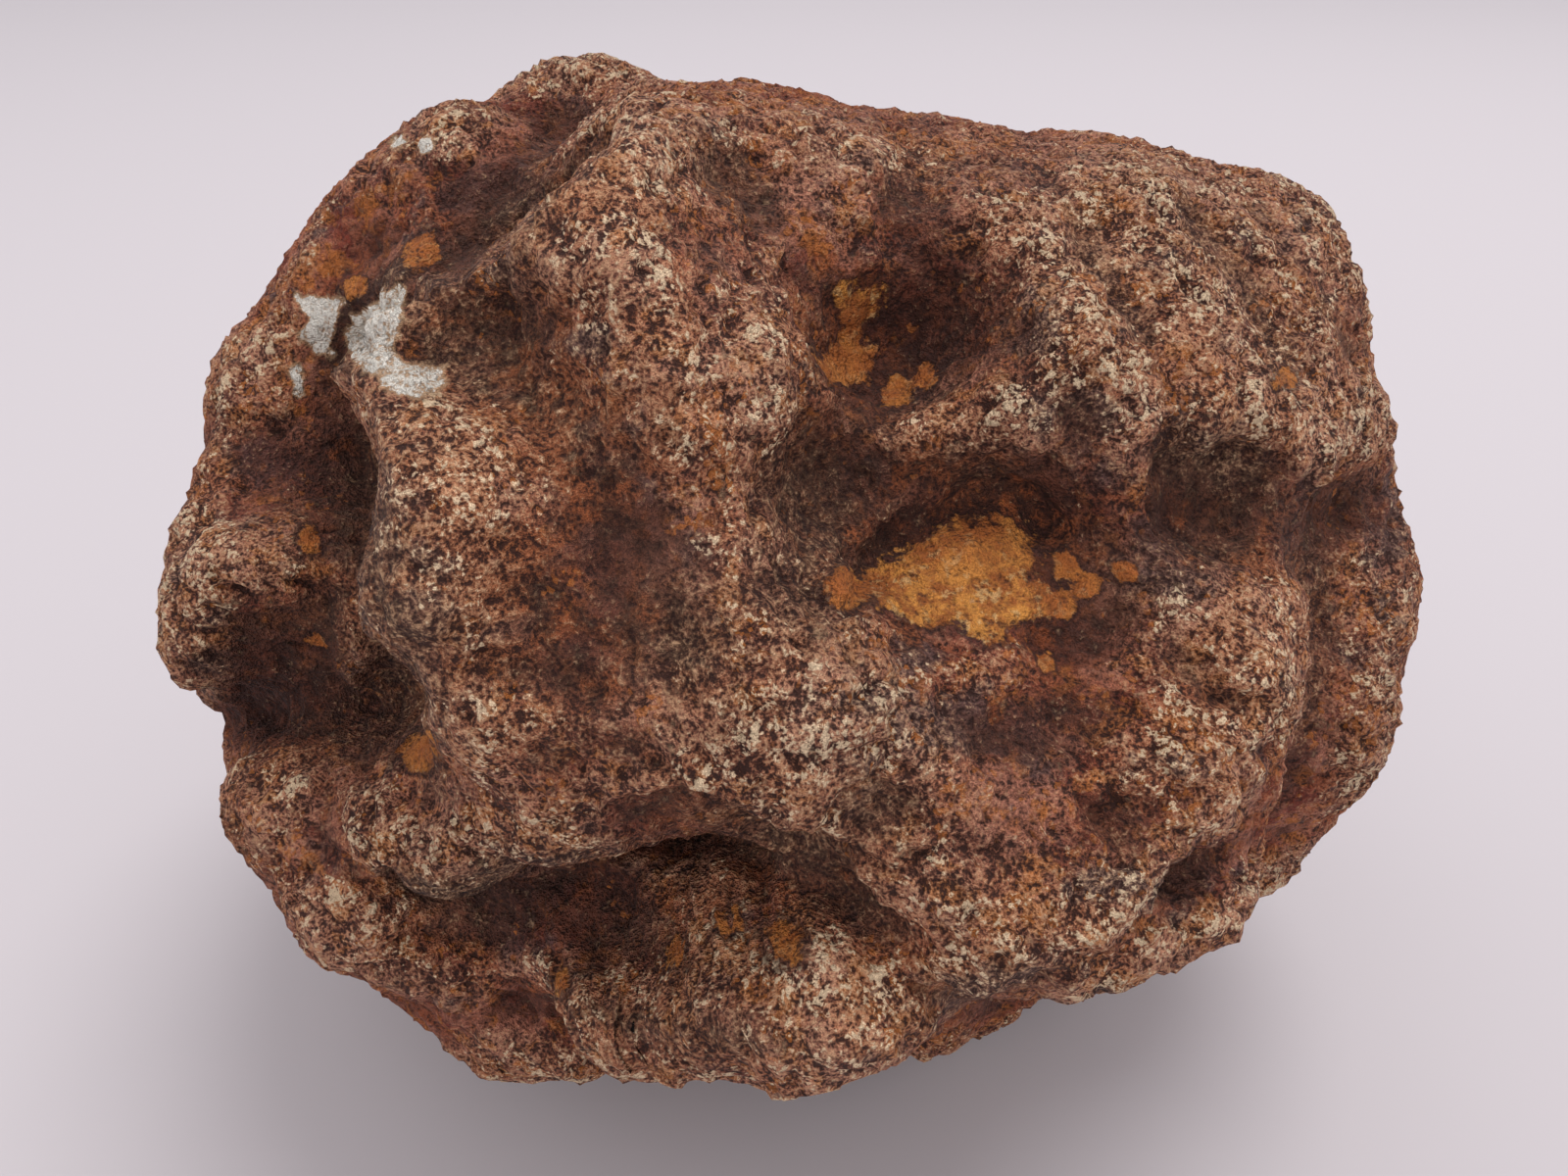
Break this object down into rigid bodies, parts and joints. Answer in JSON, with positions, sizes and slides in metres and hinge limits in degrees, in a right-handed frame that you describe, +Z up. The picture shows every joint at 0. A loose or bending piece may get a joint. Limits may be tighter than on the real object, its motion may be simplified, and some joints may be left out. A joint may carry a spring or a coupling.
{
  "type": "geode",
  "caption": "Unopened geode: a closed, lumpy, rough-skinned nodule with deep hollows, a crack and ochre pockets, resting on a small flat spot.",
  "frame": {"origin": "middle of the box around the stone, on the level of the flat spot that it rests on", "axes": "+Z up, +X along the stone's longest extent; the side with the two ochre hollows faces -Y"},
  "size_m": [0.1638, 0.1574, 0.1301],
  "materials": {
    "rind": "rough, granular iron-stained rind, matte reddish brown with cream grains, ochre pockets and a little white quartz"
  },
  "bodies": {
    "root": {"geode": "rind"}
  },
  "joints": []
}
